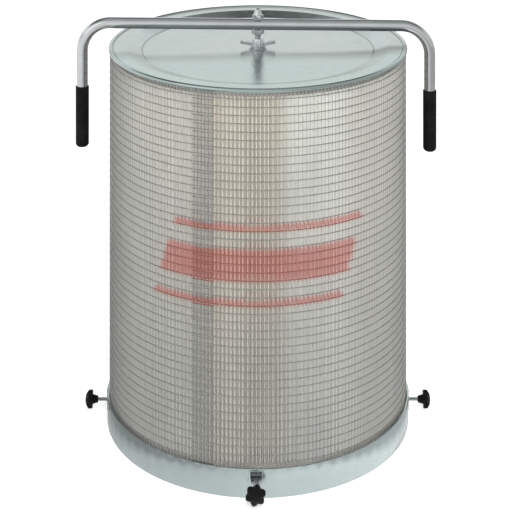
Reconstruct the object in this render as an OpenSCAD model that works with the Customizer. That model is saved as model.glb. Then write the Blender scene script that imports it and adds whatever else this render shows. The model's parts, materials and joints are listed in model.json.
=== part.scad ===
// Canister filter for a dust collector: a pleated cartridge in a wire guard, hung between a
// pressed cap and a bottom ring that clamps on the collector. A crank on top turns two rubber
// flappers inside, which knock the dust off the pleats.
// Origin: centre of the bottom ring's lower edge. +Z up, -Y is the front. Millimetres.

/* [Canister] */
// Outside diameter of the bottom ring
ring_d = 508; // [480:1:560]
// Height of the bottom ring
ring_h = 44; // [42:1:60]
// Height of the cap's bead above the ring's lower edge
canister_h = 626; // [560:1:760]
// Thickness of the ring's sheet steel
ring_t = 1.5; // [1:0.1:2]
// Thickness of the cap's sheet steel
cap_t = 1.2; // [0.8:0.1:1.6]
// Outside diameter of the cap's rolled bead
bead_outer_d = 505.2; // [478:0.1:558]
// Diameter of the bead's roll
bead_d = 7; // [5:0.5:9]
// Depth of the dish in the middle of the cap
dish_depth = 7; // [4:0.5:10]
// Width of the sloping wall between the cap's shelf and its dish
slope_w = 27; // [10:1:35]

/* [Filter] */
// Number of pleats
pleat_count = 232; // [180:4:260]
// Radial depth of a pleat
pleat_depth = 45; // [36:1:50]
// Thickness of the filter cloth
cloth_t = 0.8; // [0.6:0.1:1]
// Height of the moulded rings that hold the pleat ends
potting_h = 11; // [8:1:16]
// Radial thickness of the wire guard, one wire over the other
guard_t = 2.4; // [2:0.1:3]
// Width of the strip where the guard's two ends lap
lap_w = 36; // [20:1:50]
// Angle of the lap from the front, towards the left
lap_angle = 20; // [0:1:90]

/* [Clamp screws] */
// Height of the screws above the ring's lower edge
screw_z = 21.5; // [14:0.5:24]
// Diameter of the screws
screw_d = 6; // [5:1:8]
// Length of screw that shows between the ring and the knob
screw_shows = 17; // [12:1:20]
// Diameter over the knob's lobes
knob_d = 32; // [28:1:40]
// Thickness of the knob's head
knob_head_h = 12; // [10:0.5:16]
// Number of lobes
lobe_count = 6; // [5:1:8]

/* [Crank] */
// Diameter of the shaft inside the canister
shaft_d = 16; // [14:1:20]
// Diameter of the shaft's threaded end
thread_d = 12; // [10:1:14]
// Height of the handle's middle bar above the bead
bar_rise = 31.6; // [31:0.1:50]
// Diameter of the handle tube
tube_d = 19; // [16:1:22]
// Half the distance between the grips
arm_reach = 295; // [285:1:340]
// How far the middle of the handle lies to the left of the shaft
handle_shift = 4.5; // [0:0.5:5]
// Bend radius of the tube's middle line
bend_r = 48; // [30:1:60]
// Distance from the middle bar down to the end of a grip
arm_drop = 211; // [170:1:260]
// Length of a grip
grip_l = 103; // [80:1:130]
// Diameter of a grip
grip_d = 22.5; // [22:0.5:28]
// Angle at which the crank is parked
park_angle = -2.2; // [-180:0.1:180]

/* [Hidden] */

$fn = 96;
run_gap = 0.05;           // radial clearance of every running fit
rest_gap = 0.1;           // gap between two faces that slide over each other
galvanised = [0.72, 0.78, 0.78];
chromed = [0.86, 0.87, 0.88];
zinc = [0.70, 0.72, 0.74];
rubber_black = [0.06, 0.06, 0.06];
cloth_white = [0.88, 0.87, 0.82];
resin_grey = [0.55, 0.55, 0.52];

ring_r = ring_d / 2;
ring_in_r = ring_r - ring_t;
bead_r = bead_outer_d / 2 - bead_d / 2;
bead_z = canister_h - bead_d / 2;
shelf_z = canister_h - 2;                 // top of the cap's flat shelf
dish_floor_z = shelf_z - dish_depth;      // top of the dish's floor

guard_r = bead_outer_d / 2 - 2;
guard_in_r = guard_r - guard_t;
skirt_r = guard_in_r - 1.2;               // outside of the cap's inner skirt
pleat_out_r = skirt_r - cap_t - 0.9;
pleat_in_r = pleat_out_r - pleat_depth;
dish_r = pleat_in_r - 5;                  // edge of the dish's flat floor
slope_out_r = dish_r + slope_w;
skirt_low_z = canister_h - 9;
seat_z = ring_h - 10;                     // face of the ring's channel, which the filter stands on
lip_r = pleat_in_r - 1.5;                 // outside of the ring's inner lip
lip_z = seat_z + 14;
lower_potting_z = seat_z;
upper_potting_z = shelf_z - cap_t - potting_h;

gasket_t = 6;
gasket_z = seat_z - ring_t - gasket_t;
hem_in_r = ring_in_r - ring_t;            // the band's top edge is turned down inside, to the gasket
gasket_w = 14;
gasket_gap = 0.5;
plate_t = 1.2;
plate_w = 22;
plate_low_z = 8;
plate_top_z = ring_h - 2.5;
slot_w = 16;
slot_h = 10;
slot_z = plate_top_z - slot_h / 2 - 1.5;
nut_body_d = 9;
nut_flange_d = 12;
nut_flange_t = 0.8;
knob_hub_h = 9.5;
knob_hub_d = 15;
knob_hub_low_d = 11;
lobe_r = 3;
lobe_phase = 18;          // turn of a lobe from the horizontal
valley_r = 11.5;
knob_dome_h = 5;          // how far the middle of the knob's face stands proud of the lobes
stud_in_knob = 16;
knob_r0 = ring_r + screw_shows;           // radius at which a knob starts
side_angles = [-90.8, 0, 90, 180];        // front, right, back, left

bush_flange_d = 30;
bush_flange_t = 1.5;
bush_top_z = dish_floor_z + bush_flange_t;
bush_low_z = dish_floor_z - 14;
bush_thread_d = 22;
locknut_h = 6;
locknut_af = 32;
spider_z = seat_z + 3;
spider_t = 3;
spider_w = 25;
tab_h = 11;
tab_rivet_z = spider_z + 7.5;
rivet_d = 5;
rivet_head_d = 8;
lower_bush_d = 24;
lower_bush_low_z = spider_z - 4;
lower_bush_flange_t = 3;
thrust_z = spider_z + spider_t + lower_bush_flange_t;

bar_z = canister_h + bar_rise;
shaft_low_z = seat_z - 6;
shaft_step_z = dish_floor_z;
thread_top_z = bar_z + tube_d / 2 + 7.5;
tube_in_d = tube_d - 3;
clip_t = 1.2;
clip_z = lower_bush_low_z - clip_t - 0.3;
washer_t = 1.5;
washer_d = 25;
wing_nut_z = bush_top_z + washer_t + 2 * rest_gap;
wing_nut_h = 14;
wing_span = 60;
wing_t = 4;
jam_nut_h = 7.5;
hex_af = 19;
saddle_h = 1.2;           // how far the nuts reach round the tube
acorn_af = 16;
acorn_hex_h = 8;
acorn_h = 19.7;

arm_w = 25;
arm_t = 5;
hub_d = 32;
set_screw_d = 6;
set_screw_l = 9;
hub_h = 26;
lower_arm_z = thrust_z + rest_gap;
upper_arm_z = dish_floor_z - 60;
strip_in_r = 150;
strip_out_r = 176;
strip_t = 2.5;
flapper_in_r = strip_in_r + 3;
flapper_out_r = pleat_in_r - 2.5;
flapper_t = 3;
strip_y = arm_t / 2;
flapper_y = strip_y + strip_t;
clamp_bar_y = flapper_y + flapper_t;
blade_low_z = lip_z + 4;
blade_top_z = dish_floor_z - 12;
blade_screw_count = 5;
blade_screw_r = (strip_in_r + strip_out_r) / 2 + 3;
blade_screw_d = 5;
collar_h = 10;
collar_top_z = bush_low_z - 0.5;

module hex_prism(af, h) { cylinder(d = af / cos(30), h = h, $fn = 6); }

module ring(r_out, r_in, h) {
    difference() {
        cylinder(r = r_out, h = h);
        translate([0, 0, -1]) cylinder(r = r_in, h = h + 2);
    }
}

// A child drawn along +X is stood at each of the four clamp places.
module at_side(a) { rotate([0, 0, a]) children(); }

// A cylinder whose axis runs outward along +X.
module radial(d, r0, r1) { translate([r0, 0, 0]) rotate([0, 90, 0]) cylinder(d = d, h = r1 - r0); }

/* ---- canister ---- */

module top_cap() {
    color(galvanised) difference() {
        rotate_extrude() union() {
            translate([bead_r, bead_z]) circle(d = bead_d);
            polygon([[0, dish_floor_z], [dish_r, dish_floor_z], [slope_out_r, shelf_z], [bead_r, shelf_z],
                [bead_r, shelf_z - cap_t], [slope_out_r, shelf_z - cap_t],
                [dish_r, dish_floor_z - cap_t], [0, dish_floor_z - cap_t]]);
            translate([skirt_r - cap_t, skirt_low_z]) square([cap_t, shelf_z - skirt_low_z - cap_t / 2]);
        }
        translate([0, 0, dish_floor_z - 5]) cylinder(d = bush_thread_d, h = 10);
    }
}

// The upper ring is cast inside the cap, so its top follows the shelf and the slope.
module top_potting() {
    top_z = shelf_z - cap_t;
    inner_top_z = top_z - dish_depth * (slope_out_r - pleat_in_r) / slope_w - 0.05;
    color(resin_grey) rotate_extrude() polygon([[pleat_in_r, upper_potting_z],
        [pleat_out_r, upper_potting_z], [pleat_out_r, top_z], [slope_out_r, top_z],
        [pleat_in_r, inner_top_z]]);
}

module bottom_potting() {
    color(resin_grey) translate([0, 0, lower_potting_z]) ring(pleat_out_r, pleat_in_r, potting_h);
}

// The cloth runs to and fro between the inner and the outer folds.
module pleated_filter() {
    step = 360 / pleat_count;
    low_z = lower_potting_z + potting_h;
    function at(r, a) = [r * cos(a), r * sin(a)];
    // A fold is two cloths thick: half of that, as an angle at the inner and the outer folds
    in_a = cloth_t / pleat_in_r * 180 / PI;
    out_a = cloth_t / pleat_out_r * 180 / PI;
    outer = [for (i = [0 : pleat_count - 1]) each [
        at(pleat_in_r + cloth_t, i * step), at(pleat_out_r, i * step + step / 2 - out_a),
        at(pleat_out_r, i * step + step / 2 + out_a)]];
    inner = [for (i = [0 : pleat_count - 1]) each [
        at(pleat_in_r, i * step - in_a), at(pleat_in_r, i * step + in_a),
        at(pleat_out_r - cloth_t, i * step + step / 2)]];
    color(cloth_white) translate([0, 0, low_z])
        linear_extrude(upper_potting_z - low_z) difference() {
            polygon(outer);
            polygon(inner);
        }
}

module wire_guard() {
    lap_place = -90 - lap_angle;
    guard_h = bead_z - bead_d / 2 - seat_z;
    color(zinc) translate([0, 0, seat_z]) difference() {
        cylinder(r = guard_r, h = guard_h);
        translate([0, 0, -1]) cylinder(r = guard_in_r, h = guard_h + 2);
        // The guard is one wire thinner everywhere but at the lap
        translate([0, 0, -1]) difference() {
            cylinder(r = guard_in_r + guard_t / 4, h = guard_h + 2);
            rotate([0, 0, lap_place]) translate([0, -lap_w / 2, -1])
                cube([ring_r, lap_w, guard_h + 4]);
        }
    }
}

module clamp_band() {
    color(galvanised) difference() {
        rotate_extrude() polygon([[ring_r, 0], [ring_r, ring_h], [hem_in_r, ring_h],
            [hem_in_r, gasket_z], [ring_in_r, gasket_z], [ring_in_r, 0]]);
        for (a = side_angles) at_side(a) {
            translate([0, 0, screw_z]) radial(nut_body_d, ring_in_r - 5, ring_r + 5);
            translate([hem_in_r - 5, 0, 0]) plate_slot();
        }
    }
}

// The window over each clamp screw, through which the seat of the joint can be seen.
module plate_slot() { translate([0, -slot_w / 2, slot_z - slot_h / 2]) cube([15, slot_w, slot_h]); }

module bottom_channel() {
    color(galvanised) difference() {
        rotate_extrude() polygon([[lip_r - ring_t, seat_z - ring_t], [hem_in_r, seat_z - ring_t],
            [hem_in_r, seat_z], [lip_r, seat_z], [lip_r, lip_z], [lip_r - ring_t, lip_z]]);
        for (a = side_angles) at_side(a) translate([0, 0, tab_rivet_z])
            radial(rivet_d, lip_r - 10, lip_r + 1);
    }
}

module ring_gasket() {
    color(rubber_black) translate([0, 0, gasket_z])
        ring(hem_in_r - gasket_gap, hem_in_r - gasket_gap - gasket_w, gasket_t);
}

module clamp_plates() {
    color(galvanised) for (a = side_angles) at_side(a) difference() {
        intersection() {
            translate([0, 0, plate_low_z]) ring(ring_r + plate_t, ring_r, plate_top_z - plate_low_z);
            translate([ring_r - 20, -plate_w / 2, 0]) cube([40, plate_w, ring_h]);
        }
        translate([0, 0, screw_z]) radial(nut_body_d, ring_r - 5, ring_r + 10);
        translate([ring_r - 5, 0, 0]) plate_slot();
    }
}

module rivet_nuts() {
    color(zinc) for (a = side_angles) at_side(a) translate([0, 0, screw_z]) difference() {
        union() {
            radial(nut_body_d, ring_in_r + 0.2, ring_r + plate_t + nut_flange_t);
            radial(nut_flange_d, ring_r + plate_t, ring_r + plate_t + nut_flange_t);
        }
        radial(screw_d + 2 * run_gap, ring_in_r - 5, ring_r + 10);
    }
}

module top_bush() {
    color(chromed) difference() {
        union() {
            translate([0, 0, dish_floor_z]) cylinder(d = bush_flange_d, h = bush_flange_t);
            translate([0, 0, bush_low_z]) cylinder(d = bush_thread_d, h = dish_floor_z - bush_low_z + 1);
        }
        translate([0, 0, bush_low_z - 1])
            cylinder(d = shaft_d + 2 * run_gap, h = bush_top_z - bush_low_z + 2);
    }
}

module bush_locknut() {
    color(zinc) translate([0, 0, dish_floor_z - cap_t - locknut_h]) difference() {
        hex_prism(locknut_af, locknut_h);
        translate([0, 0, -1]) cylinder(d = bush_thread_d, h = locknut_h + 2);
    }
}

module bottom_spider() {
    reach = lip_r - ring_t;
    color(galvanised) difference() {
        intersection() {
            union() {
                for (a = [0, 90]) rotate([0, 0, a])
                    translate([-reach, -spider_w / 2, spider_z]) cube([2 * reach, spider_w, spider_t]);
                for (a = side_angles) at_side(a)
                    translate([reach - spider_t, -spider_w / 2, spider_z])
                        cube([spider_t, spider_w, tab_h]);
            }
            cylinder(r = reach, h = lip_z);
        }
        translate([0, 0, spider_z - 1]) cylinder(d = lower_bush_d, h = spider_t + 2);
        for (a = side_angles) at_side(a) translate([0, 0, tab_rivet_z])
            radial(rivet_d, reach - 10, reach + 5);
    }
}

module spider_rivets() {
    reach = lip_r - ring_t;
    color(zinc) for (a = side_angles) at_side(a) translate([0, 0, tab_rivet_z]) {
        radial(rivet_d, reach - spider_t - 1, lip_r + 0.5);
        radial(rivet_head_d, reach - spider_t - 2.5, reach - spider_t - 0.6);
    }
}

module lower_bush() {
    color(resin_grey) difference() {
        union() {
            translate([0, 0, lower_bush_low_z])
                cylinder(d = lower_bush_d, h = thrust_z - lower_bush_low_z);
            translate([0, 0, spider_z + spider_t]) cylinder(d = 36, h = lower_bush_flange_t);
        }
        translate([0, 0, lower_bush_low_z - 1]) cylinder(d = shaft_d + 2 * run_gap, h = 30);
    }
}

/* ---- crank ---- */

// Everything that turns with the crank is drawn with the handle along X, then parked.
module parked() { rotate([0, 0, park_angle]) children(); }

module cleaning_shaft() {
    groove_d = shaft_d - 2;
    color(zinc) difference() {
        union() {
            translate([0, 0, shaft_low_z]) cylinder(d = shaft_d, h = shaft_step_z - shaft_low_z);
            translate([0, 0, shaft_step_z - 1]) cylinder(d = thread_d, h = thread_top_z - shaft_step_z + 1);
        }
        translate([0, 0, clip_z - 0.1]) ring(shaft_d, groove_d / 2, clip_t + 0.2);
    }
}

// One half of the handle's centre line: half the bar, a bend and a drop.
module tube_run(d, low_z) {
    straight = arm_reach - bend_r;
    translate([0, 0, bar_z]) rotate([0, 90, 0]) cylinder(d = d, h = straight);
    translate([straight, 0, bar_z - bend_r]) rotate([90, 0, 0])
        rotate_extrude(angle = 90) translate([bend_r, 0]) circle(d = d);
    translate([arm_reach, 0, low_z]) cylinder(d = d, h = bar_z - bend_r - low_z);
}

module handle_tube() {
    end_z = bar_z - arm_drop + 7;
    color(chromed) parked() difference() {
        translate([-handle_shift, 0, 0]) for (a = [0, 180]) rotate([0, 0, a]) tube_run(tube_d, end_z);
        translate([-handle_shift, 0, 0]) for (a = [0, 180]) rotate([0, 0, a])
            tube_run(tube_in_d, end_z - 1);
        translate([0, 0, bar_z - tube_d]) cylinder(d = thread_d + 2 * run_gap, h = 2 * tube_d);
    }
}

module grip(side) {
    low_z = bar_z - arm_drop;
    round_r = 5;
    color(rubber_black) parked() translate([side * arm_reach - handle_shift, 0, low_z]) difference() {
        rotate_extrude() union() {
            translate([0, round_r]) square([grip_d / 2, grip_l - round_r]);
            square([grip_d / 2 - round_r, round_r + 1]);
            intersection() {
                translate([grip_d / 2 - round_r, round_r]) circle(r = round_r);
                square([grip_d / 2, round_r + 1]);
            }
        }
        translate([0, 0, 7]) cylinder(d = tube_d, h = grip_l);
    }
}
module left_grip() { grip(-1); }
module right_grip() { grip(1); }

// The tube itself, for the saddles of the two nuts that grip it.
module bar_cutter() { translate([-20, 0, bar_z]) rotate([0, 90, 0]) cylinder(d = tube_d, h = 40); }

module acorn_nut() {
    base_z = bar_z + tube_d / 2 - saddle_h;
    cap_low_d = 15;
    cap_top_d = 10;
    dome_h = 4;
    cone_h = acorn_h - dome_h - acorn_hex_h;
    color(chromed) parked() difference() {
        translate([0, 0, base_z]) union() {
            hex_prism(acorn_af, acorn_hex_h);
            translate([0, 0, acorn_hex_h]) cylinder(d1 = cap_low_d, d2 = cap_top_d, h = cone_h);
            intersection() {
                translate([0, 0, acorn_h - cap_top_d / 2 - 0.2]) sphere(d = cap_top_d + 0.4);
                translate([0, 0, acorn_h - dome_h - 0.1]) cylinder(d = cap_top_d, h = dome_h + 1);
            }
        }
        translate([0, 0, base_z - 1])
            cylinder(d = thread_d + 2 * run_gap, h = thread_top_z - base_z + 1 + rest_gap);
        bar_cutter();
    }
}

module jam_nut() {
    color(zinc) parked() difference() {
        translate([0, 0, bar_z - tube_d / 2 - jam_nut_h + saddle_h]) hex_prism(hex_af, jam_nut_h);
        cylinder(d = thread_d + 2 * run_gap, h = bar_z);
        bar_cutter();
    }
}

// A flat bar stood on edge through a hub; low_z is the hub's lower face.
module paddle_arm(low_z) {
    color(galvanised) parked() difference() {
        union() {
            translate([-strip_out_r, -arm_t / 2, low_z + hub_h / 2 - arm_w / 2])
                cube([2 * strip_out_r, arm_t, arm_w]);
            translate([0, 0, low_z]) cylinder(d = hub_d, h = hub_h);
        }
        translate([0, 0, low_z - 5]) cylinder(d = shaft_d, h = hub_h + 10);
        translate([0, 0, low_z + hub_h / 2]) rotate([90, 0, 0]) cylinder(d = set_screw_d, h = hub_d);
    }
}
module upper_paddle_arm() { paddle_arm(upper_arm_z); }
module lower_paddle_arm() { paddle_arm(lower_arm_z); }

// Upright plate from radius r0 to r1, with its face at y0.
module blade_plate(side, r0, r1, y0, t) {
    parked() rotate([0, 0, side > 0 ? 0 : 180]) difference() {
        translate([r0, y0, blade_low_z]) cube([r1 - r0, t, blade_top_z - blade_low_z]);
        blade_screw_places() cylinder(d = blade_screw_d, h = 40, center = true);
    }
}

// The child, drawn along Z, is laid along Y at each screw of one blade.
module blade_screw_places() {
    pitch = (blade_top_z - blade_low_z - 40) / (blade_screw_count - 1);
    for (i = [0 : blade_screw_count - 1])
        translate([blade_screw_r, arm_t / 2, blade_low_z + 20 + i * pitch])
            rotate([-90, 0, 0]) children();
}

module blade_strip(side) { blade_plate(side, strip_in_r, strip_out_r, strip_y, strip_t); }
module flapper(side) { blade_plate(side, flapper_in_r, flapper_out_r, flapper_y, flapper_t); }
module clamp_bar(side) { blade_plate(side, flapper_in_r, strip_out_r, clamp_bar_y, strip_t); }
module left_blade_strip() { color(galvanised) blade_strip(-1); }
module right_blade_strip() { color(galvanised) blade_strip(1); }
module left_flapper() { color(rubber_black) flapper(-1); }
module right_flapper() { color(rubber_black) flapper(1); }
module left_clamp_bar() { color(zinc) clamp_bar(-1); }
module right_clamp_bar() { color(zinc) clamp_bar(1); }

module blade_screws() {
    stack = 2 * strip_t + flapper_t;
    color(zinc) parked() for (a = [0, 180]) rotate([0, 0, a]) blade_screw_places() {
        cylinder(d = blade_screw_d, h = stack + 1);
        translate([0, 0, stack]) hex_prism(8, 4);
    }
}

module hub_set_screws() {
    color(zinc) parked() for (z = [lower_arm_z, upper_arm_z])
        translate([0, -shaft_d / 2, z + hub_h / 2]) rotate([90, 0, 0])
            cylinder(d = set_screw_d, h = set_screw_l);
}

module shaft_collar() {
    color(zinc) translate([0, 0, collar_top_z - collar_h]) ring(15, shaft_d / 2, collar_h);
}

module retaining_clip() {
    color(zinc) translate([0, 0, clip_z]) ring(12, shaft_d / 2 - 1, clip_t);
}

/* ---- locking nut ---- */

module nut_washer() {
    color(zinc) translate([0, 0, bush_top_z + rest_gap]) ring(washer_d / 2, thread_d / 2 + 0.3, washer_t);
}

module wing_nut() {
    hub_low_d = 22;
    hub_top_d = 17;
    tip_r = 3.3;
    tip_x = wing_span / 2 - tip_r;
    tip_z = 7.5;
    color(chromed) translate([0, 0, wing_nut_z]) difference() {
        union() {
            cylinder(d1 = hub_low_d, d2 = hub_top_d, h = wing_nut_h);
            for (s = [-1, 1]) translate([0, wing_t / 2, 0]) rotate([90, 0, 0]) linear_extrude(wing_t)
                union() {
                    translate([s * tip_x, tip_z]) circle(r = tip_r);
                    polygon([[0, 1], [s * hub_low_d / 2, 1], [s * (tip_x + 1.2), tip_z - 2.9],
                        [s * (tip_x - 1.2), tip_z + 2.9], [s * hub_top_d / 2, 6.5], [0, 6.5]]);
                }
        }
        translate([0, 0, -1]) cylinder(d = thread_d + 2 * run_gap, h = 30);
    }
}

/* ---- clamp screws ---- */

module clamp_stud(a) {
    color(zinc) at_side(a) translate([0, 0, screw_z])
        radial(screw_d, ring_in_r, knob_r0 + stud_in_knob);
}
module front_clamp_stud() { clamp_stud(side_angles[0]); }
module right_clamp_stud() { clamp_stud(side_angles[1]); }
module back_clamp_stud() { clamp_stud(side_angles[2]); }
module left_clamp_stud() { clamp_stud(side_angles[3]); }

// The star's outline: straight flanks from the valleys to the rounded lobes.
module star() {
    lobe_place = knob_d / 2 - lobe_r;
    flank = lobe_r - 0.4;
    step = 360 / lobe_count;
    function turned(p, a) = [p.x * cos(a) - p.y * sin(a), p.x * sin(a) + p.y * cos(a)];
    polygon([for (i = [0 : lobe_count - 1]) each [
        turned([valley_r, 0], lobe_phase + (i - 0.5) * step),
        turned([lobe_place, -flank], lobe_phase + i * step),
        turned([lobe_place, flank], lobe_phase + i * step)]]);
    for (i = [0 : lobe_count - 1]) rotate(lobe_phase + i * step)
        translate([lobe_place, 0]) circle(r = lobe_r);
}

module star_knob(a) {
    head_r0 = knob_r0 + knob_hub_h;
    rim_h = knob_head_h - knob_dome_h;
    color(rubber_black) at_side(a) translate([0, 0, screw_z]) difference() {
        union() {
            translate([knob_r0, 0, 0]) rotate([0, 90, 0])
                cylinder(d1 = knob_hub_low_d, d2 = knob_hub_d, h = knob_hub_h + 1);
            translate([head_r0, 0, 0]) rotate([90, 0, 90]) linear_extrude(rim_h) star();
            translate([head_r0 + rim_h - 1, 0, 0]) rotate([0, 90, 0])
                cylinder(d1 = 2 * valley_r - 1.5, d2 = valley_r, h = knob_dome_h + 1);
        }
        radial(screw_d + 2 * run_gap, knob_r0 - 1, knob_r0 + stud_in_knob + rest_gap);
    }
}
module front_star_knob() { star_knob(side_angles[0]); }
module right_star_knob() { star_knob(side_angles[1]); }
module back_star_knob() { star_knob(side_angles[2]); }
module left_star_knob() { star_knob(side_angles[3]); }

top_cap();
top_potting();
pleated_filter();
bottom_potting();
wire_guard();
clamp_band();
bottom_channel();
ring_gasket();
clamp_plates();
rivet_nuts();
top_bush();
bush_locknut();
bottom_spider();
spider_rivets();
lower_bush();
cleaning_shaft();
handle_tube();
left_grip();
right_grip();
acorn_nut();
jam_nut();
upper_paddle_arm();
lower_paddle_arm();
left_blade_strip();
right_blade_strip();
left_flapper();
right_flapper();
left_clamp_bar();
right_clamp_bar();
blade_screws();
hub_set_screws();
shaft_collar();
retaining_clip();
nut_washer();
wing_nut();
front_clamp_stud();
right_clamp_stud();
back_clamp_stud();
left_clamp_stud();
front_star_knob();
right_star_knob();
back_star_knob();
left_star_knob();
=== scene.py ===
"""Looks of the canister filter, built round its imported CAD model. Lengths are in metres."""
import json
import math

import bpy
from mathutils import Matrix, Vector


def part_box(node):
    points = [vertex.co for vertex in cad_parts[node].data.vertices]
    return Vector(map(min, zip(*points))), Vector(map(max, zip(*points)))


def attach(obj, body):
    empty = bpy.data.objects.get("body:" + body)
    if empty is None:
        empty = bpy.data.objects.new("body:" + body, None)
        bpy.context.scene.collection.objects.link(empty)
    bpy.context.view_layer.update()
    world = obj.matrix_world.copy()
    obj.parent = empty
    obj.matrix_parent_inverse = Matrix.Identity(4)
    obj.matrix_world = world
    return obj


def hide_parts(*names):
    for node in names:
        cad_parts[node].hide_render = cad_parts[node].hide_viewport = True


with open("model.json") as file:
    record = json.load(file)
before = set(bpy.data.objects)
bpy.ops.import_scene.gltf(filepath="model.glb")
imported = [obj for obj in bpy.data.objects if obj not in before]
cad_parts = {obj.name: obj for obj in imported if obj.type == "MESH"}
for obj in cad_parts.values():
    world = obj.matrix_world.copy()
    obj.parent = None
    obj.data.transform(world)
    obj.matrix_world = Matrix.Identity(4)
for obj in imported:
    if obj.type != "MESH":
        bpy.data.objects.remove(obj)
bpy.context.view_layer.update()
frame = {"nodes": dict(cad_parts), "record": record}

MM = 0.001
FULL_TURN = 2 * math.pi


# ---------------------------------------------------------------- sizes read from the frame

def radius_of(node):
    low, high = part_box(node)
    return (high.x - low.x) / 2


def span_z(node):
    low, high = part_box(node)
    return low.z, high.z


CAP_R = radius_of("top_cap")
CAP_TOP = span_z("top_cap")[1]
GUARD_R = radius_of("wire_guard")
GUARD_LOW, GUARD_TOP = span_z("wire_guard")
PLEAT_R = radius_of("pleated_filter")
PLEAT_LOW, PLEAT_TOP = span_z("pleated_filter")
DISH_R = PLEAT_R - 50 * MM
SIDES = {"front": -90.8, "right": 0, "back": 90, "left": 180}


# ---------------------------------------------------------------- node helpers

class Tree:
    """A material's node tree, with short ways to add nodes and link them."""

    def __init__(self, name):
        self.material = bpy.data.materials.new(name)
        self.material.use_nodes = True
        self.tree = self.material.node_tree
        self.tree.nodes.clear()
        self.out = self.add("ShaderNodeOutputMaterial")
        self.shader = self.add("ShaderNodeBsdfPrincipled")
        self.link(self.shader.outputs[0], self.out.inputs["Surface"])
        self.place = self.add("ShaderNodeTexCoord").outputs["Object"]

    def add(self, kind, **settings):
        node = self.tree.nodes.new(kind)
        for key, value in settings.items():
            setattr(node, key, value)
        return node

    def link(self, source, target):
        self.tree.links.new(source, target)

    def put(self, socket, value):
        if isinstance(value, bpy.types.NodeSocket):
            self.link(value, socket)
        elif socket.type == "RGBA":
            socket.default_value = (*value, 1)
        else:
            socket.default_value = value

    def set(self, **values):
        for key, value in values.items():
            self.put(self.shader.inputs[key.replace("_", " ")], value)

    def math(self, operation, a, b=0.0):
        node = self.add("ShaderNodeMath", operation=operation)
        self.put(node.inputs[0], a)
        self.put(node.inputs[1], b)
        return node.outputs[0]

    def stretch(self, scale):
        node = self.add("ShaderNodeMapping")
        self.link(self.place, node.inputs["Vector"])
        node.inputs["Scale"].default_value = scale
        return node.outputs[0]

    def noise(self, scale, detail=3.0, rough=0.55, place=None):
        node = self.add("ShaderNodeTexNoise")
        self.put(node.inputs["Vector"], place or self.place)
        node.inputs["Scale"].default_value = scale
        node.inputs["Detail"].default_value = detail
        node.inputs["Roughness"].default_value = rough
        return node.outputs["Fac"]

    def cells(self, scale, output="Color"):
        node = self.add("ShaderNodeTexVoronoi")
        self.link(self.place, node.inputs["Vector"])
        node.inputs["Scale"].default_value = scale
        return node.outputs[output]

    def spread(self, value, low, high, from_low=0.0, from_high=1.0):
        node = self.add("ShaderNodeMapRange")
        self.put(node.inputs["Value"], value)
        for key, number in (("From Min", from_low), ("From Max", from_high),
                            ("To Min", low), ("To Max", high)):
            self.put(node.inputs[key], number)
        return node.outputs[0]

    def mix(self, factor, a, b, blend="MIX"):
        node = self.add("ShaderNodeMix", data_type="RGBA", blend_type=blend)
        self.put(node.inputs[0], factor)
        self.put(node.inputs[6], a)
        self.put(node.inputs[7], b)
        return node.outputs[2]

    def grey(self, value):
        node = self.add("ShaderNodeCombineColor")
        for i in range(3):
            self.put(node.inputs[i], value)
        return node.outputs[0]

    def bump(self, height, strength, distance):
        node = self.add("ShaderNodeBump")
        node.inputs["Strength"].default_value = strength
        node.inputs["Distance"].default_value = distance
        self.put(node.inputs["Height"], height)
        self.link(node.outputs[0], self.shader.inputs["Normal"])

    def axis_parts(self):
        node = self.add("ShaderNodeSeparateXYZ")
        self.link(self.place, node.inputs[0])
        return node.outputs[0], node.outputs[1], node.outputs[2]

    def from_axis(self, x, y):
        return self.math("SQRT", self.math("ADD", self.math("MULTIPLY", x, x), self.math("MULTIPLY", y, y)))


# ---------------------------------------------------------------- the painted stripes

STRIPE_TURN = math.radians(37)       # half the angle the stripes run round the front
STRIPE_RAKE = 0.35                   # how far the ends lean, in metres of arc for a metre of height
STRIPE_Z = 0.350
STRIPES = ((0.058, 0.010), (0.0, 0.050), (-0.058, 0.010))   # height from STRIPE_Z, thickness


def stripe_mask(t):
    """1 inside the stripes: three bars round the front with raked ends."""
    x, y, z = t.axis_parts()
    turn = t.math("ARCTAN2", x, t.math("MULTIPLY", y, -1.0))
    arc = t.math("MULTIPLY", turn, GUARD_R)
    height = t.math("SUBTRACT", z, STRIPE_Z)
    leaned = t.math("SUBTRACT", arc, t.math("MULTIPLY", height, STRIPE_RAKE))
    half = STRIPE_TURN * GUARD_R
    across = t.spread(t.math("ABSOLUTE", leaned), 1.0, 0.0, half - 0.001, half + 0.001)
    bars = 0.0
    for middle, thick in STRIPES:
        off = t.math("ABSOLUTE", t.math("SUBTRACT", height, middle))
        bars = t.math("MAXIMUM", bars, t.spread(off, 1.0, 0.0, thick / 2 - 0.0006, thick / 2 + 0.0006))
    return t.math("MULTIPLY", across, bars)


# ---------------------------------------------------------------- materials

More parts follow.
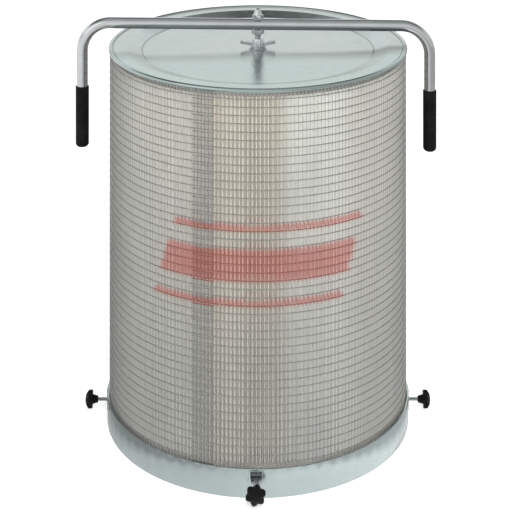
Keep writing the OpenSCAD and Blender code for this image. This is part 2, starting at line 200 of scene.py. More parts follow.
def galvanised(name="galvanised", tint=(0.50, 0.565, 0.565), rough=(0.20, 0.27), painted_shade_band=False):
    """Zinc-coated sheet: fine spangle, cloudy patches, faint rolling marks and, if asked, a painted shade
    band with painted reflection tints and painted shade along the dish crease.
    """
    t = Tree(name)
    spangle = t.add("ShaderNodeSeparateColor")
    t.link(t.cells(95.0), spangle.inputs[0])
    cloud = t.noise(7.0, 4.0)
    lines = t.noise(60.0, 4.0, 0.6, t.stretch((0.4, 9.0, 9.0)))
    tone = t.math("ADD", t.spread(spangle.outputs[0], -0.015, 0.015),
                  t.math("ADD", t.spread(cloud, -0.03, 0.03, 0.3, 0.7), t.spread(lines, -0.01, 0.01)))
    if painted_shade_band:
        # painted shade: a dark band across the cap that grows darker towards the right
        x, y, _ = t.axis_parts()
        waver = t.spread(t.noise(6.0, 2.0), -0.046, -0.038, 0.3, 0.7)
        middle = t.math("ADD", t.math("MULTIPLY", x, 0.076), waver)
        off = t.math("SUBTRACT", y, middle)
        band = t.math("MULTIPLY", t.spread(off, 1.0, 0.0, 0.0, 0.022), t.spread(off, 0.0, 1.0, -0.042, 0.0))
        tone = t.math("SUBTRACT", tone, t.math("MULTIPLY", band, t.spread(x, 0.30, 0.62, -0.05, 0.24)))
        # painted shade in the crease round the dish, behind the band only
        crease = t.math("ABSOLUTE", t.math("SUBTRACT", t.from_axis(x, y), DISH_R + 1 * MM))
        painted_crease_shade = t.math("MULTIPLY", t.spread(crease, 0.38, 0.0, 0.8 * MM, 2.6 * MM),
                       t.spread(off, 0.0, 1.0, -0.03, 0.0))
        tone = t.math("SUBTRACT", tone, painted_crease_shade)
        # painted reflection: a bluer tint in front of the band and a greyer one behind it
        tint = t.mix(t.spread(off, 0.0, 1.0, -0.01, 0.01), (0.450, 0.520, 0.505), (0.478, 0.518, 0.512))
    patches = t.spread(cloud, -0.05, 0.05, 0.3, 0.7)
    t.set(Base_Color=t.mix(1.0, tint, t.grey(t.math("ADD", tone, 1.0)), "MULTIPLY"),
          Metallic=1.0,
          Roughness=t.math("ADD", t.spread(spangle.outputs[1], *rough), patches))
    t.bump(t.math("ADD", t.spread(spangle.outputs[2], 0.0, 0.3), lines), 0.02, 0.0003)
    return t.material


def plated(name, tint, rough):
    """Bright plate over turned or rolled steel, with a faint haze and fine marks."""
    t = Tree(name)
    haze = t.noise(27.5, 3.0)
    marks = t.noise(880.0, 2.0)
    t.set(Base_Color=t.mix(t.spread(haze, 0.0, 1.0, 0.35, 0.65), tint, [c * 0.90 for c in tint]),
          Metallic=1.0,
          Roughness=t.math("ADD", t.spread(haze, rough * 0.7, rough * 1.4, 0.35, 0.65),
                           t.spread(marks, -0.015, 0.015)))
    t.bump(marks, 0.03, 0.0001)
    return t.material


def black_moulding(name, rough, grain, shade):
    """Black rubber or plastic with a fine moulded grain and slightly greyed high spots."""
    t = Tree(name)
    skin = t.noise(grain, 4.0, 0.6)
    scuff = t.noise(45.0, 3.0)
    t.set(Base_Color=t.mix(t.spread(scuff, 0.0, 1.0, 0.45, 0.75), (shade,) * 3, (shade * 2.4,) * 3),
          Roughness=t.spread(skin, rough - 0.10, rough + 0.12),
          Specular_IOR_Level=0.12)
    t.bump(skin, 0.25, 0.00025)
    return t.material


def filter_cloth():
    """Spun filter cloth: matted fibres, a warm darker band and a painted highlight across the front, darker
    towards the bottom, spray that came through the guard, and a faint painted glow.
    """
    t = Tree("filter_cloth")
    fibres = t.noise(900.0, 5.0, 0.65, t.stretch((1.0, 1.0, 0.25)))
    patches = t.noise(9.0, 4.0)
    clean = t.mix(t.spread(patches, 0.0, 1.0, 0.35, 0.7), (0.755, 0.745, 0.70), (0.675, 0.67, 0.63))
    mottled = t.mix(t.spread(fibres, 0.0, 0.35, 0.3, 0.7), clean, (0.58, 0.57, 0.525))
    x, y, z = t.axis_parts()
    front = t.spread(y, 1.0, 0.0, -0.12, -0.02)
    # a warm darker band just left of the middle, on the front only
    warm_darker_band = t.math("MULTIPLY", t.spread(x, 0.0, 1.0, -0.095, -0.070), t.spread(x, 1.0, 0.0, 0.030, 0.052))
    # painted highlight: a lighter band right of the middle, on the front only
    painted_highlight = t.math("MULTIPLY", t.spread(x, 0.0, 1.0, 0.030, 0.052), t.spread(x, 1.0, 0.0, 0.11, 0.16))
    band_and_highlight = t.mix(t.math("MULTIPLY", warm_darker_band, front), (1.0, 1.0, 1.0), (0.945, 0.91, 0.86))
    band_and_highlight = t.mix(t.math("MULTIPLY", painted_highlight, front), band_and_highlight, (1.13, 1.15, 1.17))
    mottled = t.mix(1.0, mottled, band_and_highlight, "MULTIPLY")
    # darker towards the bottom
    mottled = t.mix(t.spread(z, 0.55, 0.0, PLEAT_LOW, PLEAT_TOP), mottled, (0.31, 0.31, 0.30))
    sprayed = t.mix(t.math("MULTIPLY", stripe_mask(t), 0.62), mottled, (0.56, 0.22, 0.19))
    # painted light: the cloth glows faintly in its own colour, standing in for light scattered through the
    # pleats
    t.set(Base_Color=sprayed, Roughness=0.92, Specular_IOR_Level=0.15,
          Emission_Color=sprayed, Emission_Strength=0.16)
    t.bump(fibres, 0.35, 0.0004)
    return t.material


def guard_wire(name="guard_wire", shade=1.0):
    """Dull galvanised wire with the stripes painted over its front; shade below 1 darkens the whole wire as
    painted shade.
    """
    t = Tree(name)
    dull = t.noise(160.0, 3.0)
    cloud = t.noise(8.0, 3.0)
    zinc = t.mix(t.spread(dull, 0.0, 1.0, 0.3, 0.7), (0.63, 0.62, 0.59), (0.50, 0.495, 0.475))
    zinc = t.mix(t.spread(cloud, 0.0, 0.4, 0.4, 0.7), zinc, (0.44, 0.435, 0.42))
    paint = stripe_mask(t)
    t.set(Base_Color=t.mix(1.0, t.mix(paint, zinc, (0.52, 0.19, 0.16)), (shade,) * 3, "MULTIPLY"),
          Metallic=t.spread(paint, 0.45, 0.0),
          Roughness=t.math("ADD", t.spread(dull, 0.34, 0.5), t.math("MULTIPLY", paint, 0.08)))
    t.bump(dull, 0.15, 0.0002)
    return t.material


def cast_resin():
    """Poured resin that holds the pleat ends, with shallow flow marks and a few pits."""
    t = Tree("potting_resin")
    flow = t.noise(24.0, 4.0)
    pits = t.cells(260.0, "Distance")
    t.set(Base_Color=t.mix(t.spread(flow, 0.0, 1.0, 0.3, 0.7), (0.30, 0.29, 0.27), (0.42, 0.41, 0.38)),
          Roughness=t.spread(flow, 0.42, 0.62))
    t.bump(t.math("ADD", flow, t.spread(pits, 0.0, 1.0, 0.0, 0.25)), 0.3, 0.0006)
    return t.material


def closed_foam():
    """Closed-cell foam strip: small open pores on a dull black skin."""
    t = Tree("gasket_foam")
    pores = t.cells(900.0, "Distance")
    t.set(Base_Color=t.mix(t.spread(pores, 0.0, 1.0, 0.0, 0.6), (0.012,) * 3, (0.045,) * 3), Roughness=0.95)
    t.bump(t.spread(pores, 0.0, 1.0, 0.0, 0.5), 0.6, 0.0005)
    return t.material


def sheet_rubber():
    """Black sheet rubber with the cross-hatch of its pressing cloth and a dusting of fine wood dust."""
    t = Tree("flapper_rubber")
    weave_node = t.add("ShaderNodeTexWave", wave_type="BANDS", bands_direction="Z")
    weave_node.inputs["Scale"].default_value = 260.0
    t.link(t.place, weave_node.inputs["Vector"])
    dust = t.noise(30.0, 5.0, 0.65)
    t.set(Base_Color=t.mix(t.spread(dust, 0.0, 0.55, 0.45, 0.8), (0.018,) * 3, (0.24, 0.19, 0.13)),
          Roughness=t.spread(dust, 0.5, 0.85))
    t.bump(weave_node.outputs["Fac"], 0.2, 0.0002)
    return t.material


def nylon():
    """Natural nylon, slightly yellowed, with turning marks."""
    t = Tree("bush_nylon")
    tone = t.noise(40.0, 3.0)
    turned = t.noise(400.0, 2.0, 0.5, t.stretch((0.2, 0.2, 4.0)))
    t.set(Base_Color=t.mix(t.spread(tone, 0.0, 1.0, 0.3, 0.7), (0.72, 0.70, 0.62), (0.62, 0.59, 0.50)),
          Roughness=t.spread(turned, 0.35, 0.5),
          Subsurface_Weight=0.1)
    t.bump(turned, 0.1, 0.0002)
    return t.material


# ---------------------------------------------------------------- mesh helpers

def rounded(points, steps=6):
    """A closed outline of (r, z, fillet radius) with each corner replaced by an arc."""
    out = []
    n = len(points)
    for i in range(n):
        p = Vector(points[i][:2])
        fillet = points[i][2]
        a, b = Vector(points[i - 1][:2]) - p, Vector(points[(i + 1) % n][:2]) - p
        if fillet <= 0 or a.length < 1e-9 or b.length < 1e-9:
            out.append(p)
            continue
        a_dir, b_dir = a.normalized(), b.normalized()
        corner = math.acos(max(-1.0, min(1.0, a_dir.dot(b_dir))))
        if corner > math.pi - 0.01:
            out.append(p)
            continue
        reach = min(fillet / math.tan(corner / 2), a.length * 0.72, b.length * 0.72)
        arc_r = reach * math.tan(corner / 2)
        centre = p + (a_dir + b_dir).normalized() * (arc_r / math.sin(corner / 2))
        start, end = p + a_dir * reach - centre, p + b_dir * reach - centre
        first = math.atan2(start.y, start.x)
        swing = (math.atan2(end.y, end.x) - first + math.pi) % FULL_TURN - math.pi
        for k in range(steps + 1):
            a = first + swing * k / steps
            out.append(centre + Vector((math.cos(a), math.sin(a))) * arc_r)
    return [(v.x, v.y) for v in out]


def revolve(profile, segments):
    """Vertices and faces of a closed profile of (r, z) turned round Z. A point on the axis is one vertex."""
    verts, rows = [], []
    for r, z in profile:
        if r < 1e-7:
            verts.append((0.0, 0.0, z))
            rows.append([len(verts) - 1] * segments)
            continue
        row = []
        for k in range(segments):
            a = FULL_TURN * k / segments
            verts.append((r * math.cos(a), r * math.sin(a), z))
            row.append(len(verts) - 1)
        rows.append(row)
    faces = []
    for i in range(len(rows)):
        lower, upper = rows[i], rows[(i + 1) % len(rows)]
        for k in range(segments):
            m = (k + 1) % segments
            quad = [lower[k], lower[m], upper[m], upper[k]]
            face = [v for j, v in enumerate(quad) if v != quad[j - 1]]
            if len(face) > 2:
                faces.append(face)
    return verts, faces


def placed(verts, matrix):
    return [matrix @ Vector(v) for v in verts]


def outward(side):
    """Turns +Z into the outward direction of a clamp screw, at that screw's place on the axis."""
    low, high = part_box(side + "_clamp_stud")
    height = (low.z + high.z) / 2
    return (Matrix.Translation((0, 0, height)) @ Matrix.Rotation(math.radians(SIDES[side]), 4, "Z")
            @ Matrix.Rotation(math.pi / 2, 4, "Y"))


def polish(node, material):
    """A CAD node kept as it is, with welded vertices, softened edges and a finished material."""
    obj = frame["nodes"][node]
    obj.data.materials.clear()
    obj.data.materials.append(material)
    obj.data.shade_smooth()
    weld = obj.modifiers.new("weld", "WELD")
    weld.merge_threshold = 1e-5
    flat = obj.modifiers.new("flat", "DECIMATE")
    flat.decimate_type = "DISSOLVE"
    flat.angle_limit = math.radians(1.0)
    bevel = obj.modifiers.new("bevel", "BEVEL")
    bevel.width = 0.35 * MM
    bevel.segments = 2
    bevel.limit_method = "ANGLE"
    bevel.angle_limit = math.radians(35)
    bevel.harden_normals = True


# ---------------------------------------------------------------- sheet metal

def cap_profile():
    """Outline of the pressed cap: rolled bead, groove, shelf, sloping wall, shallow dish, short skirt."""
    sheet = 1.2 * MM
    bead_r = 3.5 * MM
    bead = (CAP_R - bead_r, CAP_TOP - bead_r)
    shelf = CAP_TOP - 2 * MM
    floor = CAP_TOP - 9 * MM
    slope = DISH_R + 27 * MM
    foot, brow = 4 * MM, 14 * MM                 # fillets below and above the slope
    skirt = PLEAT_R + 2.1 * MM
    bush = 11.1 * MM
    corners = [(bush, floor, 0), (DISH_R, floor, foot), (slope, shelf, brow),
               (bead[0] - 5.2 * MM, shelf, 1.5 * MM), (bead[0] - 4.2 * MM, shelf - 1.4 * MM, 0.6 * MM)]
    outline = rounded(corners, 10)
    outline = [p for p in outline if p[0] < bead[0] - 3.6 * MM]
    for k in range(19):
        a = math.radians(200 - 280 * k / 18)
        outline.append((bead[0] + bead_r * math.cos(a), bead[1] + bead_r * math.sin(a)))
    under = rounded([(skirt, shelf - sheet, 0), (skirt, floor, 0), (skirt - sheet, floor, 0),
                     (skirt - sheet, shelf - sheet, 0), (slope, shelf - sheet, brow),
                     (DISH_R, floor - sheet, foot), (bush, floor - sheet, 0)], 10)
    return outline + under


# ---------------------------------------------------------------- rods, tubes and knobs

def rod_faces(rows, segments):
    """Faces that join rings of vertices into a rod and fill its ends."""
    faces = []
    for lower in range(0, (rows - 1) * segments, segments):
        upper = lower + segments
        for k in range(segments):
            m = (k + 1) % segments
            faces.append((lower + k, lower + m, upper + m, upper + k))
    faces.append(tuple(range(segments))[::-1])
    last = (rows - 1) * segments
    faces.append(tuple(range(last, last + segments)))
    return faces


def rod_rows(rows, segments):
    """Vertices and faces of a closed rod along Z from (z, r(angle)) rows."""
    verts = []
    for z, reach in rows:
        for k in range(segments):
            a = FULL_TURN * k / segments
            r = reach(a)
            verts.append((r * math.cos(a), r * math.sin(a), z))
    return verts, rod_faces(len(rows), segments)


def thread_rows(radius, pitch, low, high, steps=6):
    """Rows of a V thread that fades out at both ends."""
    depth = pitch * 0.54
    count = max(2, round((high - low) / pitch * steps))

    def row(z):
        fade = min(1.0, (z - low) / pitch, (high - z) / pitch)

        def reach(a):
            turn = (z / pitch - a / FULL_TURN) % 1.0
            return radius - depth * (1 - fade) - depth * abs(2 * turn - 1) * fade
        return z, reach
    return [row(low + (high - low) * i / count) for i in range(count + 1)]


def plain_row(z, r):
    return z, lambda a: r


def sweep(path, radius, segments=40):
    """Vertices and faces of a tube whose middle line is a path in the XZ plane."""
    verts = []
    for i, (x, z) in enumerate(path):
        before, after = path[max(i - 1, 0)], path[min(i + 1, len(path) - 1)]
        along = Vector((after[0] - before[0], 0, after[1] - before[1])).normalized()
        across = Vector((-along.z, 0, along.x))
        for k in range(segments):
            a = FULL_TURN * k / segments
            around = across * math.cos(a) + Vector((0, 1, 0)) * math.sin(a)
            verts.append(Vector((x, 0, z)) + around * radius)
    return verts, rod_faces(len(path), segments)


def knob_shape(depth, radius, lobes, segments=180):
    """A star knob along +Z: a tapered hub, then a pointed star whose face is domed."""
    head = depth - 9.5 * MM
    dome = 6.0 * MM
    valley = radius * 0.77
    ball = (radius * radius + dome * dome) / (2 * dome)

    def star(inset):
        def reach(a):
            off = abs((a * lobes / FULL_TURN) % 1.0 - 0.5) * 2          # 1 at a lobe, 0 in a valley
            return valley + (radius - valley) * (off * off * (3 - 2 * off)) ** 0.75 - inset
        return reach

    base = depth - head
    rows = [plain_row(0, 4.4 * MM), plain_row(0.3 * MM, 5.1 * MM), plain_row(1.0 * MM, 5.5 * MM),
            plain_row(base - 2.0 * MM, 7.2 * MM), plain_row(base - 0.3 * MM, 8.2 * MM)]
    for i in range(4):
        a = math.radians(90 * i / 3)
        rows.append((base + 0.9 * MM * (1 - math.cos(a)), star(0.9 * MM * (1 - math.sin(a)))))
    edge = star(0)
    rows.append((depth - dome - 0.8 * MM, edge))

    def domed(share):
        """Each row of the face is the star shrunk towards the middle; its height is raised row by row."""
        return lambda a: edge(a) * share

    for i in range(1, 13):
        share = math.cos(math.radians(90 * i / 13))
        height = depth - ball + math.sqrt(ball * ball - (radius * share) ** 2)
        rows.append((max(height, depth - dome - 0.5 * MM + 0.02 * MM * i), domed(share)))
    return rod_rows(rows, segments)


# ---------------------------------------------------------------- wires and pleats

class Wires:
    """Round wires gathered into one mesh."""

    def __init__(self):
        self.verts, self.faces = [], []

    def upright(self, angle, r, low, high, radius, sides=6, lean=0.0):
        base = len(self.verts)
        out = Vector((math.cos(angle), math.sin(angle), 0))
        side = Vector((-math.sin(angle), math.cos(angle), 0))
        for z, shift in ((low, 0.0), (high, lean)):
            for k in range(sides):
                a = FULL_TURN * k / sides
                p = out * (r + radius * math.cos(a)) + side * (radius * math.sin(a) + shift)
                self.verts.append((p.x, p.y, z))
        for k in range(sides):
            m = (k + 1) % sides
            self.faces.append((base + k, base + m, base + sides + m, base + sides + k))
        self.faces.append(tuple(base + k for k in range(sides))[::-1])
        self.faces.append(tuple(base + sides + k for k in range(sides)))

    def hoop(self, z, r, radius, start, end, segments, sides=6):
        """A ring, or an arc of one, round the axis."""
        base = len(self.verts)
        whole = end - start > FULL_TURN - 1e-6
        count = segments if whole else segments + 1
        for i in range(count):
            t = start + (end - start) * i / segments
            for k in range(sides):
                a = FULL_TURN * k / sides
                rr = r + radius * math.cos(a)
                self.verts.append((rr * math.cos(t), rr * math.sin(t), z + radius * math.sin(a)))
        for i in range(segments):
            j = (i + 1) % count
            for k in range(sides):
                m = (k + 1) % sides
                self.faces.append((base + i * sides + k, base + j * sides + k,
                                   base + j * sides + m, base + i * sides + m))
        if not whole:
            self.faces.append(tuple(base + k for k in range(sides)))
            self.faces.append(tuple(base + (count - 1) * sides + k for k in range(sides))[::-1])


def unevenness(i, amount):
    """A repeatable small offset for the i-th pleat."""
    return amount * (math.sin(i * 12.9898) * 43758.5453 % 1.0 - 0.5)


def pleat_shape(count, r_out, r_in, cloth):
    """The pleated cloth: rounded outer and inner folds, a little uneven, as one closed wall."""
    step = FULL_TURN / count
    outer, inner = [], []
    for i in range(count):
        middle = (i + 0.5) * step + unevenness(i, 0.26) * step
        tip = r_out - abs(unevenness(i + 7, 1.6 * MM))
        fold = 1.25 * MM
        for k in range(7):
            a = math.radians(-90 + 30 * k)
            outer.append((tip - fold + fold * math.cos(a), middle + fold * math.sin(a) / r_out))
            thin = fold - cloth
            inner.append((tip - fold + thin * math.cos(a), middle + thin * math.sin(a) / r_out))
        following = (i + 1) * step
        for k in range(3):
            a = math.radians(-60 + 60 * k)
            thin = 0.5 * MM
            wide = thin + cloth
            inner.append((r_in + 1.2 * MM - wide * math.cos(a), following + wide * math.sin(a) / r_in))
            outer.append((r_in + 1.2 * MM - thin * math.cos(a), following + thin * math.sin(a) / r_in))
    verts, faces = [], []
    for z in (PLEAT_LOW, PLEAT_TOP):
        for ring in (outer, inner):
            verts += [(r * math.cos(a), r * math.sin(a), z) for r, a in ring]
    n = len(outer)
    for k in range(n):
        m = (k + 1) % n
        faces.append((k, m, 2 * n + m, 2 * n + k))
        faces.append((n + m, n + k, 3 * n + k, 3 * n + m))
        faces.append((m, k, n + k, n + m))
        faces.append((2 * n + k, 2 * n + m, 3 * n + m, 3 * n + k))
    return verts, faces


# ---------------------------------------------------------------- materials by slot

MATERIALS = {
    "galvanised_sheet": galvanised(),
    "potting_resin": cast_resin(),
    "filter_cloth": filter_cloth(),
    "guard_wire": guard_wire(),
    "gasket_foam": closed_foam(),
    "zinc_hardware": plated("zinc_hardware", (0.60, 0.61, 0.62), 0.28),
    "bright_steel": plated("bright_steel", (0.62, 0.63, 0.64), 0.20),
    "bush_nylon": nylon(),
    "chrome_tube": plated("chrome_tube", (0.66, 0.67, 0.68), 0.10),
    "chrome_hardware": plated("chrome_hardware", (0.66, 0.67, 0.68), 0.09),
    "grip_rubber": black_moulding("grip_rubber", 0.55, 700.0, 0.006),
    "flapper_rubber": sheet_rubber(),
    "knob_plastic": black_moulding("knob_plastic", 0.40, 1400.0, 0.005),
}
SLOT_OF = {part["node"]: part["material_slot"] for part in frame["record"]["subparts"]}
# painted shade: a darker copy of the guard wire, used for the hoops and the lapped wires
SHADED_WIRE = guard_wire("guard_hoop_wire", 0.56)
# the cap's zinc carries painted shade and painted reflection tints
CAP_ZINC = galvanised("cap_zinc", rough=(0.19, 0.23), painted_shade_band=True)


def piece(name, shape, node_name, body, smooth_angle=32.0, material=None):
    """A visual piece that stands for one CAD node and takes, unless told, the material of that node's slot.
    """
    verts, faces = shape
    mesh = bpy.data.meshes.new(name)
    mesh.from_pydata([tuple(v) for v in verts], [], faces)
    mesh.validate()
    mesh.materials.append(material or MATERIALS[SLOT_OF[node_name]])
    mesh.shade_smooth()
    mesh.set_sharp_from_angle(angle=math.radians(smooth_angle))
    obj = bpy.data.objects.new(name, mesh)
    bpy.context.scene.collection.objects.link(obj)
    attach(obj, body)
    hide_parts(node_name)
    return obj


# ---------------------------------------------------------------- canister

piece("cap", revolve(cap_profile(), 256), "top_cap", "canister", material=CAP_ZINC)
PLEATS = 232
PLEAT_DEEP = 44.5 * MM
CLOTH = 0.6 * MM
folds = pleat_shape(PLEATS, PLEAT_R - 0.2 * MM, PLEAT_R - PLEAT_DEEP, CLOTH)
piece("pleats", folds, "pleated_filter", "canister", 60)

WIRE_R = 0.55 * MM
HOOP_R = 0.78 * MM
MESH_HIGH = 12.7 * MM                        # half an inch between hoops
LAP_WIRES = 6
hoop_place = GUARD_R - HOOP_R
wire_place = hoop_place - 0.75 * MM
wires_round = 248
lap_middle = math.radians(-110)
lap_half = 18 * MM / GUARD_R                 # half the angle that the guard's ends lap over

uprights = Wires()
for i in range(wires_round):
    turn = FULL_TURN * i / wires_round + unevenness(i, 0.0006)
    uprights.upright(turn, wire_place, GUARD_LOW, GUARD_TOP, WIRE_R)
hoops = Wires()
hoop_heights = []
z = GUARD_LOW + 4 * MM
while z < GUARD_TOP - 1 * MM:
    hoop_heights.append(z)
    z += MESH_HIGH
for z in hoop_heights:
    hoops.hoop(z, hoop_place, HOOP_R, 0, FULL_TURN, 248)
lap = Wires()
under_place = GUARD_R - 2.4 * MM + WIRE_R
for i in range(LAP_WIRES):
    turn = lap_middle + lap_half * (-1 + 2 * (i + 0.35) / LAP_WIRES)
    lap.upright(turn, under_place, GUARD_LOW, GUARD_TOP, WIRE_R, lean=0.8 * MM)
for z in hoop_heights:
    under_z = z - 4.4 * MM if z > GUARD_LOW + 5 * MM else z
    lap.hoop(under_z, under_place + 0.6 * MM, HOOP_R, lap_middle - lap_half, lap_middle + lap_half, 8)
for name, wires in (("guard_uprights", uprights), ("guard_hoops", hoops), ("guard_lap", lap)):
    piece(name, (wires.verts, wires.faces), "wire_guard", "canister", 70,
          None if wires is uprights else SHADED_WIRE)

# ---------------------------------------------------------------- clamp screws

def span_out(side, part):
    """How far from the axis a clamp's part starts and ends, and half its height."""
    low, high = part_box(side + part)
    ends = (low.x, high.x) if side in ("left", "right") else (low.y, high.y)
    near, far = sorted(abs(end) for end in ends)
    return near, far, (high.z - low.z) / 2


SCREW_PITCH = 1.0 * MM
KNOB_R = 15.9 * MM
KNOB_LOBES = 6
KNOB_TURNS = {"front": 48, "right": 3, "back": 20, "left": -4}

for side, turn_by in KNOB_TURNS.items():
    near, far, stud_r = span_out(side, "_clamp_stud")
    rows = [plain_row(near, stud_r * 0.8)] + thread_rows(stud_r, SCREW_PITCH, near + 0.1 * MM, far)
    stand = outward(side)
    verts, faces = rod_rows(rows, 32)
    piece(side + "_screw", (placed(verts, stand), faces), side + "_clamp_stud", side + "_clamp_stud", 50)

    near, far, _ = span_out(side, "_star_knob")
    lift = stand @ Matrix.Translation((0, 0, near)) @ Matrix.Rotation(math.radians(turn_by), 4, "Z")
    verts, faces = knob_shape(far - near, KNOB_R, KNOB_LOBES)
    piece(side + "_knob", (placed(verts, lift), faces), side + "_star_knob", side + "_star_knob", 40)

# ---------------------------------------------------------------- crank

TUBE_R = 9.5 * MM
GRIP_R = 11.25 * MM
PARK_TURN = math.radians(-2.2)
PARK_SHIFT = -4.5 * MM                       # the handle stands a little off the shaft

low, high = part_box("handle_tube")
bar_z = high.z - TUBE_R
bend_r = 48 * MM
reach = 295 * MM
park = Matrix.Rotation(PARK_TURN, 4, "Z") @ Matrix.Translation((PARK_SHIFT, 0, 0))
half = [(reach, low.z)]
for i in range(33):
    a = math.radians(90 * i / 32)
    half.append((reach - bend_r + bend_r * math.cos(a), bar_z - bend_r + bend_r * math.sin(a)))
path = half + [(-x, z) for x, z in reversed(half)]
verts, faces = sweep(path, TUBE_R)
handle = piece("handle", (placed(verts, park), faces), "handle_tube", "crank", 40)
handle.visible_glossy = False               # the dull cap gives no clear image of the tube

for side, sign in (("left", -1), ("right", 1)):
    bottom, top = span_z(side + "_grip")
    hole_low = bottom + 7 * MM
    profile = rounded([(0, bottom, 0), (GRIP_R, bottom, 6.5 * MM), (GRIP_R + 0.1 * MM, top, 1.0 * MM),
                       (TUBE_R, top, 0.5 * MM), (TUBE_R, hole_low, 0), (0, hole_low, 0)], 8)
    verts, faces = revolve(profile, 72)
    stand = park @ Matrix.Translation((sign * reach, 0, 0))
    piece(side + "_handgrip", (placed(verts, stand), faces), side + "_grip", "crank", 50)

SHAFT_R = 8 * MM
SHAFT_THREAD_R = 6 * MM
SHAFT_PITCH = 1.75 * MM

low_z, high_z = span_z("cleaning_shaft")
step_z = span_z("top_bush")[1] - 1.2 * MM
rows = [plain_row(low_z, SHAFT_R - 0.8 * MM), plain_row(low_z + 0.8 * MM, SHAFT_R),
        plain_row(step_z - 0.6 * MM, SHAFT_R), plain_row(step_z, SHAFT_R - 0.6 * MM)]
rows += thread_rows(SHAFT_THREAD_R, SHAFT_PITCH, step_z + 0.1 * MM, high_z)
verts, faces = rod_rows(rows, 48)
piece("shaft", (placed(verts, Matrix.Identity(4)), faces), "cleaning_shaft", "crank", 50)

REPLACED = {"top_cap", "pleated_filter", "wire_guard"}
REPLACED |= {"handle_tube", "left_grip", "right_grip", "cleaning_shaft"}
REPLACED |= {side + end for side in SIDES for end in ("_clamp_stud", "_star_knob")}
for node_name in frame["nodes"]:
    if node_name not in REPLACED:
        polish(node_name, MATERIALS[SLOT_OF[node_name]])


# ---------------------------------------------------------------- studio

def studio_floor():
    """A white sweep with a soft shadow; what the metal mirrors of it fades away from the ring and carries a
    painted shadow of the ring just beside it.
    """
    t = Tree("studio_floor")
    t.set(Base_Color=(0.86, 0.86, 0.86), Roughness=0.9, Specular_IOR_Level=0.1,
          Emission_Color=(1, 1, 1), Emission_Strength=0.45)
    x, y, _ = t.axis_parts()
    sideways = t.math("ABSOLUTE", x)
    # painted shadow: what the metal mirrors of the floor dims just beside the ring, where the ring would
    # shade it
    near = t.math("MULTIPLY", t.spread(x, 0.68, 1.22, -0.30, 0.22), t.spread(sideways, 1.0, 0.55, 0.22, 0.29))
    far = t.spread(x, 1.0, 0.50, -0.9, 0.9)
    level = t.mix(t.spread(t.from_axis(x, y), 0.0, 1.0, 0.6, 1.2), t.grey(near), t.grey(far))
    mirrored = t.add("ShaderNodeEmission")
    t.link(t.mix(1.0, level, (0.985, 1.0, 1.0), "MULTIPLY"), mirrored.inputs["Color"])
    matt = t.add("ShaderNodeBsdfDiffuse")
    t.link(t.grey(t.spread(sideways, 0.72, 0.04, 0.15, 0.60)), matt.inputs["Color"])
    path = t.add("ShaderNodeLightPath")
    shader = matt.outputs[0]
    for ray, other in (("Is Glossy Ray", mirrored.outputs[0]), ("Is Camera Ray", t.shader.outputs[0])):
        choice = t.add("ShaderNodeMixShader")
        t.link(path.outputs[ray], choice.inputs[0])
        t.link(shader, choice.inputs[1])
        t.link(other, choice.inputs[2])
        shader = choice.outputs[0]
    t.link(shader, t.out.inputs["Surface"])
    mesh = bpy.data.meshes.new("floor")
    half = 30.0
    corners = [(-half, -half, 0), (half, -half, 0), (half, half, 0), (-half, half, 0)]
    mesh.from_pydata(corners, [], [(0, 1, 2, 3)])
    mesh.materials.append(t.material)
    floor = bpy.data.objects.new("floor", mesh)
    bpy.context.scene.collection.objects.link(floor)
    return floor


class WorldTree(Tree):
    """The same short ways to build nodes, for the world."""

    def __init__(self, name):
        self.world = bpy.data.worlds.new(name)
        self.world.use_nodes = True
        self.tree = self.world.node_tree
        self.tree.nodes.clear()
        self.out = self.add("ShaderNodeOutputWorld")
        self.place = self.add("ShaderNodeTexCoord").outputs["Generated"]

    def ramp(self, value, stops):
        node = self.add("ShaderNodeValToRGB")
        self.link(value, node.inputs[0])
        elements = node.color_ramp.elements
        elements[0].position, elements[0].color = stops[0][0], (*stops[0][1], 1)
        elements[1].position, elements[1].color = stops[-1][0], (*stops[-1][1], 1)
        for at, colour in stops[1:-1]:
            elements.new(at).color = (*colour, 1)
        return node.outputs[0]

    def glow(self, colour):
        node = self.add("ShaderNodeBackground")
        self.put(node.inputs["Color"], colour)
        return node.outputs[0]

    def pick(self, factor, a, b):
        node = self.add("ShaderNodeMixShader")
        self.put(node.inputs[0], factor)
        self.link(a, node.inputs[1])
        self.link(b, node.inputs[2])
        return node.outputs[0]


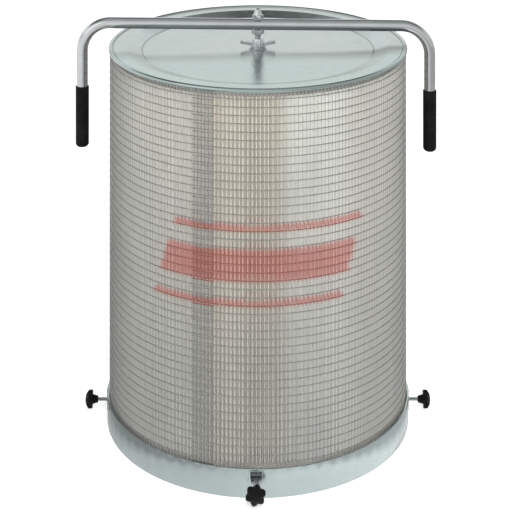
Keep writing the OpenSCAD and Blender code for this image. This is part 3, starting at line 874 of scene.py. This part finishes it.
def studio_world():
    """White to the camera, soft light with dimmer sides to matt things, a dark room in front to metal."""
    t = WorldTree("studio")
    x, y, z = t.axis_parts()
    behind = t.ramp(z, ((0.0, (0.95, 0.95, 0.94)), (0.19, (0.72, 0.76, 0.75)), (0.225, (0.80, 0.84, 0.83)),
                        (0.25, (1.10, 1.06, 1.05)), (0.268, (1.10, 1.07, 1.06)),
                        (0.29, (0.99, 1.04, 1.03)), (0.36, (1.17, 1.25, 1.23)), (0.52, (0.92, 0.97, 0.96)),
                        (0.63, (0.09, 0.10, 0.09)), (0.84, (0.09, 0.10, 0.09)), (1.0, (0.42, 0.44, 0.45))))
    front = t.ramp(z, ((0.0, (0.86, 0.88, 0.87)), (0.5, (0.82, 0.84, 0.83)), (0.78, (0.58, 0.60, 0.60)),
                       (1.0, (0.42, 0.44, 0.45))))
    mirrored = t.mix(t.spread(y, 1.0, 0.0, -0.55, 0.25), behind, front)
    mirrored = t.mix(t.spread(x, 0.0, 0.45, 0.05, 0.75), mirrored, (0.36, 0.37, 0.37))
    side = t.spread(t.math("ABSOLUTE", x), 1.0, 0.12, 0.28, 0.88)
    above = t.ramp(z, ((0.0, (0.98, 0.97, 0.95)), (0.45, (1.0, 1.0, 0.99)), (1.0, (0.55, 0.56, 0.56))))
    soft = t.mix(1.0, above, t.grey(side), "MULTIPLY")
    path = t.add("ShaderNodeLightPath")
    lit = t.pick(path.outputs["Is Glossy Ray"], t.glow(soft), t.glow(mirrored))
    t.link(t.pick(path.outputs["Is Camera Ray"], lit, t.glow((1, 1, 1))), t.out.inputs["Surface"])
    bpy.context.scene.world = t.world


def softbox(name, place, aim, width, height, power, colour=(1, 1, 1), mirrored=True):
    data = bpy.data.lights.new(name, "AREA")
    data.shape, data.size, data.size_y = "RECTANGLE", width, height
    data.energy, data.color = power, colour
    obj = bpy.data.objects.new(name, data)
    obj.location = place
    obj.rotation_euler = (Vector(aim) - Vector(place)).to_track_quat("-Z", "Y").to_euler()
    obj.visible_glossy = mirrored
    bpy.context.scene.collection.objects.link(obj)
    return obj


def studio_camera():
    """A camera that looks down on the canister with its picture plane kept upright, as with a shift lens."""
    place = Vector((-0.0049, -2.600, 1.357))
    fall = 0.4197                                # how far the view falls for each metre ahead
    lean = math.sqrt(1 + fall * fall)
    rig = bpy.data.objects.new("camera_rig", None)
    data = bpy.data.cameras.new("camera")
    data.lens = 108.1412 * lean                  # millimetres, on a sensor 36 mm wide
    data.sensor_width = 36
    data.clip_start, data.clip_end = 0.05, 60
    camera = bpy.data.objects.new("camera", data)
    for obj in (rig, camera):
        bpy.context.scene.collection.objects.link(obj)
    camera.parent = rig
    back = (0, -1 / lean, fall / lean)
    camera.matrix_parent_inverse = Matrix(((1, 0, back[0], place.x), (0, 0, back[1], place.y),
                                           (0, 1, back[2], place.z), (0, 0, 0, 1)))
    bpy.context.scene.camera = camera
    return rig, camera


studio_world()
lamps = (softbox("key", (0.45, -2.95, 2.6), (0, 0, 0.45), 1.8, 1.8, 106, mirrored=False),
         softbox("fill", (-2.0, -2.0, 1.8), (0, 0, 0.45), 1.8, 1.8, 5, (0.94, 1.0, 0.99)),
         softbox("back_light", (0.6, 2.4, 2.4), (0, 0, 0.5), 2.0, 1.0, 20, mirrored=False))
studio_floor()
studio_camera()
bpy.context.scene.view_settings.view_transform = "Standard"
